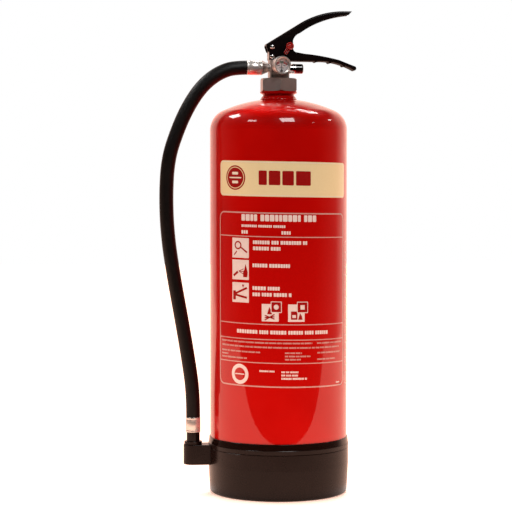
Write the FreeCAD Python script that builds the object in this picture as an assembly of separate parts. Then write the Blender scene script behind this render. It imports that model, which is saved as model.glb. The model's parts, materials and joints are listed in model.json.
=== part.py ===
"""Nine-litre stored-pressure foam fire extinguisher, one STEP file per sub-part.

Millimetres. The cylinder's axis is Z. The carrying handle points to +X, the hose hangs on the -X
side and the pressure gauge faces the front, -Y. Heights are drawn from a datum FOOT_Z under the
skirt's foot, and the parts are moved down by FOOT_Z when written, so that the floor is Z = 0.
"""
import FreeCAD, Part
import math
import os

from FreeCAD import Vector

# Vessel: a drawn steel cylinder with two dished ends
VESSEL_R = 90.0
WALL = 1.6
CROWN_R = 2 * VESSEL_R
KNUCKLE_R = 28.0
TOP_TANGENT_Z = 479.5
BOTTOM_TANGENT_Z = 50.0
SEAM_Z = 60.0

# Base skirt and nozzle holder
FOOT_Z = 3.0
SKIRT_R = 92.6
SKIRT_TOP_Z = 77.0
SKIRT_LIP_R = 92.3
SKIRT_LIP_H = 8.0
FOOT_R = 86.0
FOOT_T = 3.0
DRAIN_R = 8.0
RIB_R = 56.5
RIB_T = 3.0

# Neck and union nut
NECK_BORE_R = 18.0
NECK_R = 20.0
NECK_FLANGE_R = 22.6
NECK_LIP_R = 24.2
NECK_TOP_Z = 530.0
NUT_TOP_Z = 547.3
NUT_ACROSS_FLATS = 44.5

# Valve body and what is bored in it
BODY_HALF_X = 12.8
BODY_HALF_Y = 13.0
BODY_TOP_Z = 571.0
SPIGOT_R = 13.0
SPIGOT_BOTTOM_Z = 505.0
SEAT_Z = 549.0
SEAT_BORE_R = 4.5
UPPER_CHAMBER_R = 6.0
LOWER_CHAMBER_R = 9.0
STEM_R = 2.5
STEM_TOP_Z = 580.0
RUN = 0.05

# Lever, handle and their rivets
PIVOT = (-9.5, 588.0)
HANDLE_RIVET = (-9.6, 575.4)
RIVET_R = 2.4
RIVET_HEAD_R = 3.3
TONGUE_HALF = 7.5
LEVER_INNER = 8.0
LEVER_OUTER = 9.6
EAR_INNER = 10.2
EAR_OUTER = 12.0
SHEET = 1.6
BEND_R = 2.4
PRESS_PIN = (1.0, 582.9)
LEVER_TRAVEL = 14.0

# Safety pin, its ring and the tamper seal
PIN = (13.6, 589.0)
PIN_R = 1.6
PIN_GAP = 0.35
PIN_FRONT_Y = -13.5
EYE_Y = 17.5
RING_R = 9.6
RING_WIRE_R = 0.9
SEAL_R = 5.25

# Pressure gauge, turned towards the handle about the vertical
GAUGE_FACE = Vector(1.9, -29.0, 563.3)
GAUGE_YAW = 19.0
GAUGE_R = 11.85
GAUGE_WINDOW_R = 9.4
GAUGE_CASE_R = 11.2
GAUGE_STEM_R = 3.6
GAUGE_STEM_END = 20.0
NEEDLE_DROP = 7.7
NEEDLE_LENGTH = 11.6

# Test port on the right of the valve
PORT_Z = 560.0
PORT_THREAD_R = 4.6
PORT_COLLAR_R = 6.5
PORT_COLLAR_END = 21.9
PORT_END = 29.0
CAP_R = 6.4
CAP_START = 22.2
CAP_END = 32.4

# Hose, its fittings and the nozzle
HOSE_R = 9.25
HOSE_BORE_R = 5.5
OUTLET_Z = 561.2
FERRULE_R = 9.5
TAIL_CONE_X = -14.6
FERRULE_START_X = -22.0
HOSE_START_X = -42.0
NOZZLE_X = -113.1
LOWER_FERRULE_TOP_Z = 102.6
LOWER_FERRULE_BOTTOM_Z = 83.2
LOWER_TAIL_END_Z = 77.0
NOZZLE_R = 8.65
COLLAR_R = 11.7
COLLAR_TOP_Z = 71.4
HOLDER_R = 12.7
HOLDER_TOP_Z = 67.0
HOLDER_BOTTOM_Z = 40.8
POCKET_R = 8.0
TIP_BOTTOM_Z = 45.6

# Hose route from the outlet to the nozzle: (x, z) of its corners in the plane Y = 0
HOSE_ROUTE = [
    (HOSE_START_X, OUTLET_Z), (-58.5, OUTLET_Z), (-75.7, 557.7), (-93.5, 549.9), (-111.0, 536.8),
    (-127.0, 516.4), (-138.0, 486.3), (-145.4, 443.0), (-148.4, 393.0), (-146.2, 341.0),
    (-138.0, 286.0), (-127.6, 229.0), (-118.8, 176.0), (NOZZLE_X, 134.0),
    (NOZZLE_X, LOWER_FERRULE_TOP_Z),
]

# Label films on the front of the cylinder
FILM = 0.15
LABEL_HALF_ANGLE = 65.5
BAND_Z = (392.5, 437.5)
PANEL_Z = (148.5, 374.0)


# ---------------------------------------------------------------- helpers

def save(name, shape):
    """Check that a sub-part is one valid solid and write it."""
    shape = shape.removeSplitter()
    shape.translate(Vector(0, 0, -FOOT_Z))
    if len(shape.Solids) != 1 or not shape.isValid():
        raise ValueError(f"{name}: {len(shape.Solids)} solids, valid {shape.isValid()}")
    shape.Solids[0].exportStep(f"parts/{name}.step")
    print(f"{name}: {shape.Volume / 1000:.2f} cm3")


def face_xz(start, *steps):
    """Face in the XZ plane. A step is a corner (x, z) or an arc given as (middle, end)."""
    edges = []
    first = Vector(start[0], 0, start[1])
    here = first
    for step in steps:
        if isinstance(step[0], tuple):
            middle = Vector(step[0][0], 0, step[0][1])
            end = Vector(step[1][0], 0, step[1][1])
            edges.append(Part.Arc(here, middle, end).toShape())
        else:
            end = Vector(step[0], 0, step[1])
            edges.append(Part.LineSegment(here, end).toShape())
        here = end
    if here.distanceToPoint(first) > 1e-6:
        edges.append(Part.LineSegment(here, first).toShape())
    return Part.Face(Part.Wire(edges))


def turned(start, *steps):
    """Solid of revolution about Z from an outline of (radius, z)."""
    return face_xz(start, *steps).revolve(Vector(), Vector(0, 0, 1), 360)


def round_edges(shape, radius, half_width, places):
    """Round the side edges that pass through the given (x, z) places, on both sides."""
    chosen = []
    for x, z in places:
        for side in (-half_width, half_width):
            vertex = Part.Vertex(x, side, z)
            chosen.append(min(shape.Edges, key=lambda edge: edge.distToShape(vertex)[0]))
    return shape.makeFillet(radius, chosen)


def plate(half_width, start, *steps):
    """An XZ outline made solid from Y = -half_width to +half_width."""
    face = face_xz(start, *steps)
    face.translate(Vector(0, -half_width, 0))
    return face.extrude(Vector(0, 2 * half_width, 0))


def rod(radius, start, end):
    """Cylinder between two points."""
    start = Vector(*start)
    axis = Vector(*end) - start
    return Part.makeCylinder(radius, axis.Length, start, axis)


def tube(outer, inner, start, end):
    """Pipe between two points."""
    return rod(outer, start, end).cut(rod(inner, start, end))


def cross_rod(radius, place, y_start, y_end):
    """Cylinder along Y at an (x, z) place."""
    return rod(radius, (place[0], y_start, place[1]), (place[0], y_end, place[1]))


def polar(centre, radius, degrees):
    """Point at a radius and an angle from a centre, in any plane."""
    angle = math.radians(degrees)
    return (centre[0] + radius * math.cos(angle), centre[1] + radius * math.sin(angle))


# ---------------------------------------------------------------- vessel

def dish(outer_r, crown_r, knuckle_r, tangent_z, up):
    """Outline steps of a dished end: from the tangent line round the knuckle to the crown's pole."""
    reach = outer_r - knuckle_r
    spread = crown_r - knuckle_r
    drop = math.sqrt(spread ** 2 - reach ** 2)
    split = math.degrees(math.asin(reach / spread))
    centre = (0.0, -drop)
    knuckle = (reach, 0.0)
    middle_k = polar(knuckle, knuckle_r, (90 - split) / 2)
    end_k = polar(knuckle, knuckle_r, 90 - split)
    middle_c = polar(centre, crown_r, 90 - split / 2)
    pole = (0.0, crown_r - drop)

    def placed(point):
        return (point[0], tangent_z + up * point[1])

    return [(placed(middle_k), placed(end_k)), (placed(middle_c), placed(pole))]


def vessel_end(outer_r, crown_r, knuckle_r, tangent_z, seam_z, up):
    """Solid of a dished end and its straight wall, filled to the axis."""
    steps = dish(outer_r, crown_r, knuckle_r, tangent_z, up)
    return turned((0.0, seam_z), (outer_r, seam_z), (outer_r, tangent_z), *steps)


def hollow_end(tangent_z, seam_z, up):
    """Dished end of constant wall thickness."""
    outside = vessel_end(VESSEL_R, CROWN_R, KNUCKLE_R, tangent_z, seam_z, up)
    inside = vessel_end(VESSEL_R - WALL, CROWN_R - WALL, KNUCKLE_R - WALL, tangent_z, seam_z, up)
    return outside.cut(inside)


def cylinder_shell():
    shell = hollow_end(TOP_TANGENT_Z, SEAM_Z, 1)
    return shell.cut(rod(NECK_R, (0, 0, SPIGOT_BOTTOM_Z), (0, 0, NECK_TOP_Z)))


def bottom_dome():
    return hollow_end(BOTTOM_TANGENT_Z, SEAM_Z, -1)


def neck_ring():
    seat_z = 519.8
    recess_z = 528.3
    recess_r = 19.9
    return turned((NECK_BORE_R, 508.0), (NECK_R, 508.0), (NECK_R, seat_z), (NECK_FLANGE_R, seat_z),
                  (NECK_FLANGE_R, 522.4), (20.6, 524.6), (20.6, 526.0), (NECK_LIP_R, 527.8),
                  (NECK_LIP_R, NECK_TOP_Z), (recess_r, NECK_TOP_Z), (recess_r, recess_z),
                  (NECK_BORE_R, recess_z))


def weld_bead(shell, neck):
    bead = Part.makeTorus(22.7, 1.9, Vector(0, 0, 519.6))
    inside = rod(NECK_FLANGE_R, (0, 0, 510.0), (0, 0, NECK_TOP_Z))
    bead = bead.cut(inside).cut(shell)
    return max(bead.Solids, key=lambda solid: solid.BoundBox.ZMax)


def neck_gasket():
    return tube(19.9, NECK_BORE_R, (0, 0, 528.3), (0, 0, NECK_TOP_Z))


# ---------------------------------------------------------------- base

def skirt_outline(inner_steps):
    """The skirt's outer profile followed by the given inner one."""
    lip_z = SKIRT_TOP_Z - SKIRT_LIP_H
    wall_r = SKIRT_R - 0.3
    return turned((DRAIN_R, FOOT_Z), (FOOT_R, FOOT_Z), ((89.2, FOOT_Z + 1.4), (90.6, FOOT_Z + 4.8)),
                  (wall_r, 42.0), (wall_r, 62.4), (wall_r - 0.5, 62.9), (wall_r, 63.4), (SKIRT_R, lip_z - 0.5),
                  (SKIRT_LIP_R, lip_z), (SKIRT_LIP_R - 1.0, SKIRT_TOP_Z - 0.8),
                  ((SKIRT_LIP_R - 1.2, SKIRT_TOP_Z - 0.2), (SKIRT_LIP_R - 1.6, SKIRT_TOP_Z)), *inner_steps)


def base_skirt():
    """Floor with a drain hole, a ring rib under the vessel's dome, and the wall up to the lip."""
    rib_out = RIB_R + RIB_T / 2
    rib_in = RIB_R - RIB_T / 2
    rib_top = 22.0
    floor_z = FOOT_Z + FOOT_T
    skirt = skirt_outline([(VESSEL_R, SKIRT_TOP_Z), (VESSEL_R, 46.0), (87.6, 20.0), (86.6, floor_z),
                           (rib_out, floor_z), (rib_out, rib_top), (rib_in, rib_top), (rib_in, floor_z),
                           (DRAIN_R, floor_z)])
    return skirt.cut(vessel_end(VESSEL_R, CROWN_R, KNUCKLE_R, BOTTOM_TANGENT_Z, SEAM_Z, -1))


def nozzle_holder():
    end = (NOZZLE_X, 0, HOLDER_BOTTOM_Z)
    height = HOLDER_TOP_Z - HOLDER_BOTTOM_Z
    block = Part.makeCylinder(HOLDER_R, height, Vector(*end))
    arm = Part.makeBox(30.0, 2 * HOLDER_R, height, Vector(NOZZLE_X, -HOLDER_R, HOLDER_BOTTOM_Z))
    block = block.fuse(arm).removeSplitter()
    rim = [edge for edge in block.Edges if abs(edge.BoundBox.ZMax - edge.BoundBox.ZMin) < 0.01]
    block = block.makeFillet(0.8, rim)
    block = block.cut(skirt_outline([(0.0, SKIRT_TOP_Z), (0.0, FOOT_Z)]))
    pocket = rod(POCKET_R, (NOZZLE_X, 0, TIP_BOTTOM_Z - 2.5), (NOZZLE_X, 0, HOLDER_TOP_Z))
    return max(block.Solids, key=lambda solid: solid.Volume).cut(pocket)


# ---------------------------------------------------------------- valve

def union_nut():
    radius = NUT_ACROSS_FLATS / math.sqrt(3)
    corners = [Vector(*polar((0, 0), radius, 30 + 60 * side), NECK_TOP_Z) for side in range(6)]
    prism = Part.Face(Part.makePolygon(corners + corners[:1])).extrude(
        Vector(0, 0, NUT_TOP_Z - NECK_TOP_Z))
    chamfer_r = 22.6
    chamfer_h = 1.8
    barrel = turned((0, NECK_TOP_Z), (chamfer_r, NECK_TOP_Z), (radius, NECK_TOP_Z + chamfer_h),
                    (radius, NUT_TOP_Z - chamfer_h), (chamfer_r, NUT_TOP_Z), (0, NUT_TOP_Z))
    nut = prism.common(barrel).fuse(rod(NECK_BORE_R, (0, 0, 512.0), (0, 0, NECK_TOP_Z)))
    dimple = cross_rod(0.85, (0, 541.5), -radius - 1, -radius + 1.2)
    return nut.cut(rod(SPIGOT_R, (0, 0, 511.0), (0, 0, NUT_TOP_Z))).cut(dimple)


def gauge_axis_point(depth):
    """Point on the gauge's axis, a depth behind its front rim."""
    yaw = math.radians(GAUGE_YAW)
    return GAUGE_FACE + Vector(-math.sin(yaw), math.cos(yaw), 0) * depth


def valve_block():
    """Outside of the brass body, before boring."""
    size = Vector(2 * BODY_HALF_X, 2 * BODY_HALF_Y, BODY_TOP_Z - NUT_TOP_Z)
    block = Part.makeBox(size.x, size.y, size.z, Vector(-BODY_HALF_X, -BODY_HALF_Y, NUT_TOP_Z))
    upright = [edge for edge in block.Edges if edge.BoundBox.ZLength > 1]
    block = block.makeFillet(3.0, upright)
    pillar = rod(3.6, (-8.9, -11.4, 556.5), (-8.9, -11.4, BODY_TOP_Z))
    boss = rod(2.3, (-7.6, -12.0, 552.6), (-7.6, -14.2, 552.6))
    pad = rod(6.2, (-3.9, -12.0, 563.3), gauge_axis_point(15.5))
    spigot = rod(SPIGOT_R, (0, 0, SPIGOT_BOTTOM_Z), (0, 0, NUT_TOP_Z))
    tongue = plate(TONGUE_HALF, (-13.6, BODY_TOP_Z), (-13.6, 588.3), ((-9.05, 592.85), (-4.5, 588.3)),
                   (-4.5, BODY_TOP_Z))
    spacer = cross_rod(4.0, HANDLE_RIVET, -EAR_INNER, EAR_INNER)
    for piece in (pillar, boss, pad, spigot, tongue, spacer):
        block = block.fuse(piece)
    return block


def valve_body():
    pressure_way = gauge_axis_point(22.5)
    bores = [
        rod(STEM_R + RUN, (0, 0, 540.0), (0, 0, BODY_TOP_Z)),
        rod(4.4, (0, 0, 567.5), (0, 0, 569.5)),
        rod(UPPER_CHAMBER_R, (0, 0, 553.0), (0, 0, 566.0)),
        rod(SEAT_BORE_R, (0, 0, SEAT_Z), (0, 0, 553.0)),
        rod(LOWER_CHAMBER_R, (0, 0, SPIGOT_BOTTOM_Z), (0, 0, SEAT_Z)),
        rod(5.0, (0, 0, OUTLET_Z), (-BODY_HALF_X, 0, OUTLET_Z)),
        rod(6.0, (-10.0, 0, OUTLET_Z), (-BODY_HALF_X, 0, OUTLET_Z)),
        rod(2.2, (9.0, 0, PORT_Z), (BODY_HALF_X, 0, PORT_Z)),
        rod(4.0, (10.3, 0, PORT_Z), (BODY_HALF_X, 0, PORT_Z)),
        rod(1.2, (9.0, 0, 547.0), (9.0, 0, PORT_Z)),
        rod(GAUGE_STEM_R, gauge_axis_point(GAUGE_STEM_END), gauge_axis_point(10.0)),
        rod(1.2, pressure_way, gauge_axis_point(17.0)),
        rod(1.2, (pressure_way.x, pressure_way.y, 547.0), pressure_way),
        cross_rod(RIVET_R, PIVOT, -TONGUE_HALF, TONGUE_HALF),
        cross_rod(RIVET_R, HANDLE_RIVET, -EAR_INNER, EAR_INNER),
    ]
    body = valve_block()
    for bore in bores:
        body = body.cut(bore)
    return body


def valve_stem():
    button = rod(3.0, (0, 0, STEM_TOP_Z - 2.5), (0, 0, STEM_TOP_Z))
    shaft = rod(STEM_R, (0, 0, 543.0), (0, 0, STEM_TOP_Z - 2.5))
    carrier = rod(7.5, (0, 0, 543.0), (0, 0, 546.0))
    return shaft.fuse(button).fuse(carrier)


def seat_seal():
    return tube(7.5, STEM_R, (0, 0, 546.0), (0, 0, SEAT_Z - RUN))


def stem_o_ring():
    return Part.makeTorus(STEM_R + RUN + 0.9, 0.9, Vector(0, 0, 568.5))


def valve_spring():
    """Compression spring between its retainer and the stem's carrier."""
    wire_r = 0.7
    coil_r = 5.4
    bottom = 514.0 + wire_r
    height = 543.0 - 514.0 - 2 * wire_r
    turns = 5.0
    helix = Part.makeHelix(height / turns, height, coil_r)
    section = Part.Wire(Part.Circle(Vector(coil_r, 0, 0), Vector(0, 1, 0), wire_r).toShape())
    spring = Part.Wire(helix).makePipeShell([section], True, True)
    spring.translate(Vector(0, 0, bottom))
    return spring


def spring_retainer():
    plug = rod(LOWER_CHAMBER_R, (0, 0, 500.0), (0, 0, 514.0))
    return plug.cut(rod(4.5, (0, 0, 509.0), (0, 0, 514.0))).cut(rod(6.0, (0, 0, 500.0), (0, 0, 510.0)))


def dip_tube():
    return tube(6.0, 4.8, (0, 0, 24.0), (0, 0, 510.0))


def dip_strainer():
    """Slotted cap at the dip tube's foot."""
    cap = rod(7.6, (0, 0, 18.0), (0, 0, 32.0)).cut(rod(6.0, (0, 0, 24.0), (0, 0, 32.0)))
    cap = cap.cut(rod(4.8, (0, 0, 20.0), (0, 0, 24.0)))
    for turn in range(2):
        slot = Part.makeBox(20.0, 1.6, 4.0, Vector(-10.0, -0.8, 18.0))
        slot.rotate(Vector(), Vector(0, 0, 1), 90 * turn)
        cap = cap.cut(slot)
    return cap


# ---------------------------------------------------------------- handle and lever

def carry_handle():
    """Upturned channel: two ears at the valve, a web under the grip with three finger ridges."""
    handle = plate(EAR_OUTER, (-13.4, BODY_TOP_Z + 0.3), (-13.4, 586.5), ((-12.2, 591.8), (-8.0, 594.6)),
                   (13.5, 597.4), ((16.6, 596.3), (17.7, 593.2)), (17.7, 587.0),
                   ((19.0, 582.9), (23.0, 581.0)), (32.4, 579.3), ((56.0, 576.2), (78.5, 571.4)),
                   (98.6, 563.6), ((101.5, 560.8), (99.6, 557.8)), ((78.5, 566.4), (52.0, 569.5)),
                   (14.5, 569.8), (13.6, BODY_TOP_Z + 0.3))
    handle = round_edges(handle, BEND_R, EAR_OUTER, [(33.2, 569.6), (78.5, 566.4)])
    channel = plate(EAR_INNER, (-30.0, 560.0), (14.5, 560.0), (14.5, 571.4), (52.0, 571.1),
                    ((78.5, 568.0), (97.1, 560.7)), (97.9, 620.0), (-30.0, 620.0))
    channel = round_edges(channel, BEND_R - SHEET, EAR_INNER, [(33.2, 571.2), (78.5, 568.0)])
    handle = handle.cut(channel)
    for ridge in ((48.6, 570.7), (67.0, 569.4), (85.6, 565.2)):
        bar = cross_rod(2.3, ridge, BEND_R - EAR_OUTER, EAR_OUTER - BEND_R)
        handle = handle.fuse(bar.cut(channel))
    for hole_r, place in ((RIVET_R, PIVOT), (RIVET_R, HANDLE_RIVET), (PIN_R + PIN_GAP, PIN)):
        handle = handle.cut(cross_rod(hole_r, place, -EAR_OUTER, EAR_OUTER))
    return handle


def pin_slot():
    """Arc slot about the pivot, so that the lever can swing past the safety pin."""
    half = PIN_R + PIN_GAP
    arm = math.dist(PIVOT, PIN)
    start = math.degrees(math.atan2(PIN[1] - PIVOT[1], PIN[0] - PIVOT[0]))
    end = start + LEVER_TRAVEL + 1.0
    middle = (start + end) / 2
    slot = plate(LEVER_OUTER, polar(PIVOT, arm - half, start),
                 (polar(PIVOT, arm - half, middle), polar(PIVOT, arm - half, end)),
                 polar(PIVOT, arm + half, end),
                 (polar(PIVOT, arm + half, middle), polar(PIVOT, arm + half, start)))
    for angle in (start, end):
        slot = slot.fuse(cross_rod(half, polar(PIVOT, arm, angle), -LEVER_OUTER, LEVER_OUTER))
    return slot


def squeeze_lever():
    """Downturned channel: the web is the top of the lever, two cheeks straddle the valve tongue."""
    lever = plate(LEVER_OUTER, (-17.6, 588.5), (-17.3, 591.7), (30.2, 620.9),
                  ((58.0, 632.0), (87.0, 635.5)), (96.2, 635.5), (91.6, 630.4),
                  ((60.0, 623.4), (27.5, 606.4)), ((20.4, 601.4), (17.6, 594.8)), (17.6, 585.0),
                  (-8.0, 580.4), (-15.1, 581.4))
    lever = round_edges(lever, BEND_R, LEVER_OUTER, [(6.45, 606.3), (58.0, 632.0), (91.6, 635.5)])
    channel = plate(LEVER_INNER, (-30.0, 581.9), (30.9, 619.3), ((58.3, 630.3), (87.0, 633.8)),
                    (110.0, 633.8), (110.0, 560.0), (-30.0, 560.0))
    channel = round_edges(channel, BEND_R - SHEET, LEVER_INNER,
                          [(0.45, 600.6), (58.3, 630.3), (99.0, 633.8)])
    lever = lever.cut(channel)
    lever = lever.cut(cross_rod(RIVET_R + RUN, PIVOT, -LEVER_OUTER, LEVER_OUTER))
    lever = lever.cut(cross_rod(STEM_R, PRESS_PIN, -LEVER_OUTER, LEVER_OUTER))
    return lever.cut(pin_slot())


def press_pin():
    return cross_rod(STEM_R, PRESS_PIN, -LEVER_OUTER, LEVER_OUTER)


def rivet(place):
    """Shank with a domed head on each side."""
    x, z = place
    shape = cross_rod(RIVET_R, place, -EAR_OUTER, EAR_OUTER)
    dome_rise = 1.7
    dome_r = (RIVET_HEAD_R ** 2 + dome_rise ** 2) / (2 * dome_rise)
    for side in (-1, 1):
        ball = Part.makeSphere(dome_r, Vector(x, side * (EAR_OUTER + dome_rise - dome_r), z))
        beyond = cross_rod(RIVET_HEAD_R, place, *sorted((side * EAR_OUTER, side * (EAR_OUTER + 3))))
        shape = shape.fuse(ball.common(beyond))
    return shape


# ---------------------------------------------------------------- safety pin and seal

def safety_pin():
    shaft = cross_rod(PIN_R, PIN, PIN_FRONT_Y, EYE_Y - 2.0)
    collar = cross_rod(2.6, PIN, EAR_OUTER + 0.3, EAR_OUTER + 1.8)
    eye = rod(3.2, (PIN[0] - 1.5, EYE_Y, PIN[1]), (PIN[0] + 1.5, EYE_Y, PIN[1]))
    hole = rod(1.45, (PIN[0] - 5, EYE_Y, PIN[1]), (PIN[0] + 5, EYE_Y, PIN[1]))
    return shaft.fuse(collar).fuse(eye).cut(hole)


def pull_ring():
    return Part.makeTorus(RING_R, RING_WIRE_R, Vector(PIN[0], EYE_Y, PIN[1] - RING_R), Vector(0, 1, 0))


def tamper_seal():
    """Disc over the pin's tip, with a tail that hooks round the front ear's lower part."""
    disc = cross_rod(SEAL_R, PIN, -EAR_OUTER - 2.6, -EAR_OUTER)
    tail = Part.makeBox(5.6, 0.9, 12.5, Vector(-2.8, -EAR_OUTER - 0.9, -12.5))
    tail.rotate(Vector(), Vector(0, 1, 0), 33)
    tail.translate(Vector(PIN[0], 0, PIN[1]))
    pocket = cross_rod(PIN_R + PIN_GAP, PIN, -EAR_OUTER - 1.9, -EAR_OUTER)
    return disc.fuse(tail).cut(pocket)


# ---------------------------------------------------------------- gauge

def on_gauge(shape):
    """Move a shape from gauge axes (X right, Y up, Z out of the dial) to its place."""
    yaw = math.radians(GAUGE_YAW)
    out = Vector(math.sin(yaw), -math.cos(yaw), 0)
    up = Vector(0, 0, 1)
    turn = FreeCAD.Rotation(up.cross(out), up, out, "XYZ")
    shape.Placement = FreeCAD.Placement(GAUGE_FACE, turn).multiply(shape.Placement)
    return shape


def along(radius, start, end, x=0.0, y=0.0):
    """Cylinder along the gauge's own axis."""
    return rod(radius, (x, y, start), (x, y, end))


def gauge_case():
    cup = along(GAUGE_CASE_R, -9.5, -0.6).cut(along(10.2, -8.0, -0.6))
    stem = along(GAUGE_STEM_R, -GAUGE_STEM_END, -9.5)
    return on_gauge(cup.fuse(stem).cut(along(1.2, -GAUGE_STEM_END, -8.0)))


def gauge_bezel():
    ring = along(GAUGE_R, -3.2, 0.0).cut(along(GAUGE_CASE_R, -3.2, -0.6))
    ring = ring.cut(Part.makeCone(GAUGE_WINDOW_R, GAUGE_WINDOW_R + 0.9, 0.6, Vector(0, 0, -0.6)))
    return on_gauge(ring)


def gauge_lens():
    return on_gauge(along(10.2, -1.5, -0.6))


def gauge_dial():
    dial = along(10.2, -4.4, -3.9)
    return on_gauge(dial.cut(along(0.4 + RUN, -4.4, -3.9, y=-NEEDLE_DROP)))


def gauge_movement():
    """Curved Bourdon tube behind the dial, joined to the case's inlet by a block."""
    bend = Part.makeTorus(6.4, 1.0, Vector(0, 0, -6.0), Vector(0, 0, 1), 0, 360, 240)
    bend.rotate(Vector(), Vector(0, 0, 1), -30)
    block = Part.makeBox(7.4, 2.6, 2.6, Vector(0, -3.6, -8.0))
    return on_gauge(bend.fuse(block))


def gauge_needle():
    blade = Part.makePolygon([Vector(-0.62, -2.0, 0), Vector(0.62, -2.0, 0),
                              Vector(0.22, NEEDLE_LENGTH, 0), Vector(-0.22, NEEDLE_LENGTH, 0),
                              Vector(-0.62, -2.0, 0)])
    blade = Part.Face(blade).extrude(Vector(0, 0, 0.3))
    blade.translate(Vector(0, -NEEDLE_DROP, -3.4))
    return on_gauge(blade.fuse(along(1.3, -3.4, -2.6, y=-NEEDLE_DROP)))


def needle_spindle():
    return on_gauge(along(0.4, -7.4, -3.4, y=-NEEDLE_DROP))


# ---------------------------------------------------------------- test port

def port_rod(radius, start, end):
    return rod(radius, (start, 0, PORT_Z), (end, 0, PORT_Z))


def test_port():
    stub = port_rod(4.0, 10.3, BODY_HALF_X).fuse(port_rod(PORT_COLLAR_R, BODY_HALF_X, PORT_COLLAR_END))
    groove = port_rod(PORT_COLLAR_R, 16.4, 17.6).cut(port_rod(5.2, 16.4, 17.6))
    stub = stub.fuse(port_rod(PORT_THREAD_R, PORT_COLLAR_END, PORT_END)).cut(groove)
    return stub.cut(port_rod(1.8, 10.3, PORT_END))


def test_port_core():
    return port_rod(1.8, 20.0, 24.0).fuse(port_rod(0.8, 24.0, 28.0))


def test_port_cap():
    cap = port_rod(CAP_R, CAP_START, CAP_END)
    end_edge = [edge for edge in cap.Edges if edge.BoundBox.XMin > CAP_END - 0.01]
    cap = cap.makeFillet(1.8, end_edge)
    return cap.cut(port_rod(PORT_THREAD_R + 0.35, CAP_START, 30.4))


def cap_washer():
    return port_rod(PORT_THREAD_R + 0.3, PORT_END + 0.3, 30.4).cut(port_rod(2.0, PORT_END, 30.4))


# ---------------------------------------------------------------- hose line

def outlet_adaptor():
    stub = rod(6.0, (-10.0, 0, OUTLET_Z), (-BODY_HALF_X, 0, OUTLET_Z))
    stub = stub.fuse(rod(5.3, (-BODY_HALF_X, 0, OUTLET_Z), (TAIL_CONE_X, 0, OUTLET_Z)))
    return stub.cut(rod(3.5, (-10.0, 0, OUTLET_Z), (TAIL_CONE_X, 0, OUTLET_Z)))


def upper_tail():
    cone = Part.makeCone(6.0, FERRULE_R, TAIL_CONE_X - FERRULE_START_X,
                         Vector(TAIL_CONE_X, 0, OUTLET_Z), Vector(-1, 0, 0))
    tail = rod(HOSE_BORE_R, (FERRULE_START_X, 0, OUTLET_Z), (HOSE_START_X, 0, OUTLET_Z))
    return cone.fuse(tail).cut(rod(3.5, (TAIL_CONE_X, 0, OUTLET_Z), (HOSE_START_X, 0, OUTLET_Z)))


def upper_ferrule():
    return tube(FERRULE_R, HOSE_BORE_R, (FERRULE_START_X, 0, OUTLET_Z), (HOSE_START_X, 0, OUTLET_Z))


def hose():
    """Hose of one bore along straight runs joined by tangent arcs."""
    points = [Vector(x, 0, z) for x, z in HOSE_ROUTE]
    runs = [b - a for a, b in zip(points, points[1:])]
    edges = []
    here = points[0]
    for corner, before, after in zip(points[1:], runs, runs[1:]):
        half_turn = before.getAngle(after) / 2
        setback = 0.45 * min(before.Length, after.Length)
        radius = setback / math.tan(half_turn)
        print(f"hose corner ({corner.x:.1f}, {corner.z:.1f}): radius {radius:.1f}")
        into = corner - before.normalize() * setback
        out = corner + Vector(after).normalize() * setback
        bisector = (into + out) * 0.5 - corner
        depth = radius / math.cos(half_turn) - radius
        middle = corner + bisector.normalize() * depth
        edges.append(Part.LineSegment(here, into).toShape())
        edges.append(Part.Arc(into, middle, out).toShape())
        here = out
    edges.append(Part.LineSegment(here, points[-1]).toShape())
    path = Part.Wire(edges)
    start = points[0]
    rings = [Part.Wire(Part.Circle(start, Vector(1, 0, 0), r).toShape()) for r in (HOSE_R, HOSE_BORE_R)]
    outside, bore = (path.makePipe(Part.Face(ring)) for ring in rings)
    line = outside.cut(bore)
    area = math.pi * (HOSE_R ** 2 - HOSE_BORE_R ** 2)
    print(f"hose length {path.Length:.1f} mm, volume over section times length "
          f"{line.Volume / (area * path.Length):.4f}")
    return line


def nozzle_rod(radius, start, end):
    return rod(radius, (NOZZLE_X, 0, start), (NOZZLE_X, 0, end))


def lower_ferrule():
    sleeve = nozzle_rod(FERRULE_R + 0.1, LOWER_FERRULE_BOTTOM_Z, LOWER_FERRULE_TOP_Z)
    return sleeve.cut(nozzle_rod(HOSE_BORE_R, LOWER_FERRULE_BOTTOM_Z, LOWER_FERRULE_TOP_Z))


def lower_tail():
    tail = nozzle_rod(HOSE_BORE_R, LOWER_TAIL_END_Z, LOWER_FERRULE_TOP_Z)
    return tail.cut(nozzle_rod(3.5, LOWER_TAIL_END_Z, LOWER_FERRULE_TOP_Z))


def nozzle_body():
    body = nozzle_rod(NOZZLE_R, COLLAR_TOP_Z, LOWER_FERRULE_BOTTOM_Z)
    body = body.cut(nozzle_rod(HOSE_BORE_R, LOWER_TAIL_END_Z, LOWER_FERRULE_BOTTOM_Z))
    return body.cut(nozzle_rod(3.5, COLLAR_TOP_Z, LOWER_TAIL_END_Z))


def nozzle_collar():
    collar = nozzle_rod(COLLAR_R, HOLDER_TOP_Z + 0.1, COLLAR_TOP_Z)
    rims = [edge for edge in collar.Edges if edge.Closed]
    return collar.makeFillet(0.6, rims).cut(nozzle_rod(6.0, HOLDER_TOP_Z, COLLAR_TOP_Z))


def nozzle_tip():
    tip = turned((2.4, TIP_BOTTOM_Z), (5.8, TIP_BOTTOM_Z), (7.4, 53.0), (7.4, HOLDER_TOP_Z + 0.1),
                 (6.0, HOLDER_TOP_Z + 0.1), (6.0, COLLAR_TOP_Z), (3.5, COLLAR_TOP_Z), (2.4, 53.0))
    tip.translate(Vector(NOZZLE_X, 0, 0))
    return tip


# ---------------------------------------------------------------- labels

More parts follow.
